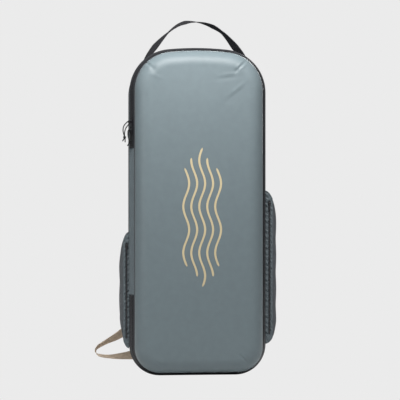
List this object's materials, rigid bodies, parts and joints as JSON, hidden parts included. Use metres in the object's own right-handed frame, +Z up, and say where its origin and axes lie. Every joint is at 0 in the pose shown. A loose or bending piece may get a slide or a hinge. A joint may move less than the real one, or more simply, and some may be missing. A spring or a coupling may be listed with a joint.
{
  "type": "tackle backpack",
  "caption": "Tall hard-front backpack for fishing rods and tackle; its zipped front shell swings open on a fabric side hinge, with side pockets, a top handle and a padded harness.",
  "frame": {"origin": "middle of the flat base that the pack stands on, level with the side wall's lowest face", "axes": "+Z up along the pack, -Y out of the front shell, +X to the right seen from the front; the harness is on the +Y side"},
  "size_m": [0.4538, 0.238, 0.8708],
  "materials": {
    "shell": "moulded fabric laminate",
    "wall": "coated weave",
    "back": "coated weave",
    "board": "plain",
    "lining": "smooth",
    "mesh": "open mesh",
    "dark_webbing": "woven",
    "tan_webbing": "woven",
    "zip_tape": "coated",
    "zip_teeth": "moulded",
    "slider_metal": "black",
    "pull_rubber": "moulded",
    "cord": "braided",
    "piping": "smooth",
    "pocket": "stretch weave",
    "pad": "spacer mesh over foam",
    "buckle": "moulded"
  },
  "bodies": {
    "pack": {"side_wall": "wall", "back_panel": "back", "frame_sheet": "board", "main_lining": "lining", "rod_divider": "lining", "gear_shelf_1": "lining", "gear_shelf_2": "lining", "lower_rod_strap": "dark_webbing", "upper_rod_strap": "dark_webbing", "rear_zip_tape": "zip_tape", "rear_zip_teeth": "zip_teeth", "left_pocket_front": "pocket", "left_pocket_panel": "pocket", "left_pocket_zip": "zip_teeth", "right_pocket_front": "pocket", "right_pocket_panel": "pocket", "right_pocket_zip": "zip_teeth", "left_handle_tab": "dark_webbing", "right_handle_tab": "dark_webbing", "left_back_pad": "pad", "right_back_pad": "pad", "lumbar_pad": "pad", "yoke": "pad", "left_anchor": "dark_webbing", "right_anchor": "dark_webbing"},
    "front": {"front_shell": "shell", "shell_lining": "lining", "front_piping": "piping", "mesh_pocket": "mesh", "mesh_hem": "dark_webbing", "front_zip_tape": "zip_tape", "front_zip_teeth": "zip_teeth", "hinge_panel": "wall"},
    "upper_slider": {"upper_slider": "slider_metal"},
    "upper_pull": {"upper_pull_cord": "cord"},
    "lower_slider": {"lower_slider": "slider_metal"},
    "lower_pull": {"lower_pull_cord": "cord"},
    "left_pocket_slider": {"left_pocket_slider": "slider_metal"},
    "left_pocket_tab": {"left_pocket_tab": "pull_rubber"},
    "right_pocket_slider": {"right_pocket_slider": "slider_metal"},
    "right_pocket_tab": {"right_pocket_tab": "pull_rubber"},
    "handle": {"handle_loop": "dark_webbing"},
    "harness": {"left_shoulder_strap": "pad", "right_shoulder_strap": "pad", "left_ladder_lock": "buckle", "right_ladder_lock": "buckle", "left_strap_end": "dark_webbing", "right_strap_end": "dark_webbing", "left_lower_webbing": "tan_webbing", "right_lower_webbing": "tan_webbing", "left_sternum_webbing": "dark_webbing", "right_sternum_webbing": "dark_webbing", "buckle_female": "buckle"},
    "buckle_male": {"buckle_male": "buckle"}
  },
  "joints": [
    {"name": "shell_hinge", "type": "hinge", "parent": "pack", "child": "front", "pos_m": [-0.167, -0.048, 0.376], "axis": [0, 0, -1], "range_deg": [0, 150], "deforming": ["hinge_panel", "front_zip_tape", "front_zip_teeth"]},
    {"name": "upper_slider_run", "type": "slide", "parent": "pack", "child": "upper_slider", "axis": [0, 0, 1], "range_m": [0, 0.07]},
    {"name": "upper_pull_swing", "type": "hinge", "parent": "upper_slider", "child": "upper_pull", "pos_m": [-0.1677, -0.0639, 0.61756], "axis": [-0.4258, 0.9048, 0], "range_deg": [0, 110]},
    {"name": "lower_slider_run", "type": "slide", "parent": "pack", "child": "lower_slider", "axis": [0, 0, 1], "range_m": [-0.02, 0]},
    {"name": "lower_pull_swing", "type": "hinge", "parent": "lower_slider", "child": "lower_pull", "pos_m": [-0.1677, -0.0639, 0.59556], "axis": [-0.4258, 0.9048, 0], "range_deg": [0, 130]},
    {"name": "left_pocket_slider_run", "type": "slide", "parent": "pack", "child": "left_pocket_slider", "axis": [0, 0, 1], "range_m": [-0.215, 0]},
    {"name": "left_pocket_tab_swing", "type": "hinge", "parent": "left_pocket_slider", "child": "left_pocket_tab", "pos_m": [-0.1737, -0.0379, 0.318], "axis": [-1, 0, 0], "range_deg": [0, 150]},
    {"name": "right_pocket_slider_run", "type": "slide", "parent": "pack", "child": "right_pocket_slider", "axis": [0, 0, 1], "range_m": [-0.31, 0]},
    {"name": "right_pocket_tab_swing", "type": "hinge", "parent": "right_pocket_slider", "child": "right_pocket_tab", "pos_m": [0.1783, -0.0379, 0.421], "axis": [-1, 0, 0], "range_deg": [0, 150]},
    {"name": "handle_swing", "type": "hinge", "parent": "pack", "child": "handle", "pos_m": [0, 0, 0.79194], "axis": [1, 0, 0], "range_deg": [-50, 50]},
    {"name": "harness_swing", "type": "hinge", "parent": "pack", "child": "harness", "pos_m": [0, 0.0963, 0.699], "axis": [1, 0, 0], "range_deg": [0, 35], "deforming": ["left_lower_webbing", "right_lower_webbing"]},
    {"name": "buckle_release", "type": "slide", "parent": "harness", "child": "buckle_male", "axis": [-1, 0, 0], "range_m": [0, 0.022], "deforming": ["left_sternum_webbing"]}
  ]
}
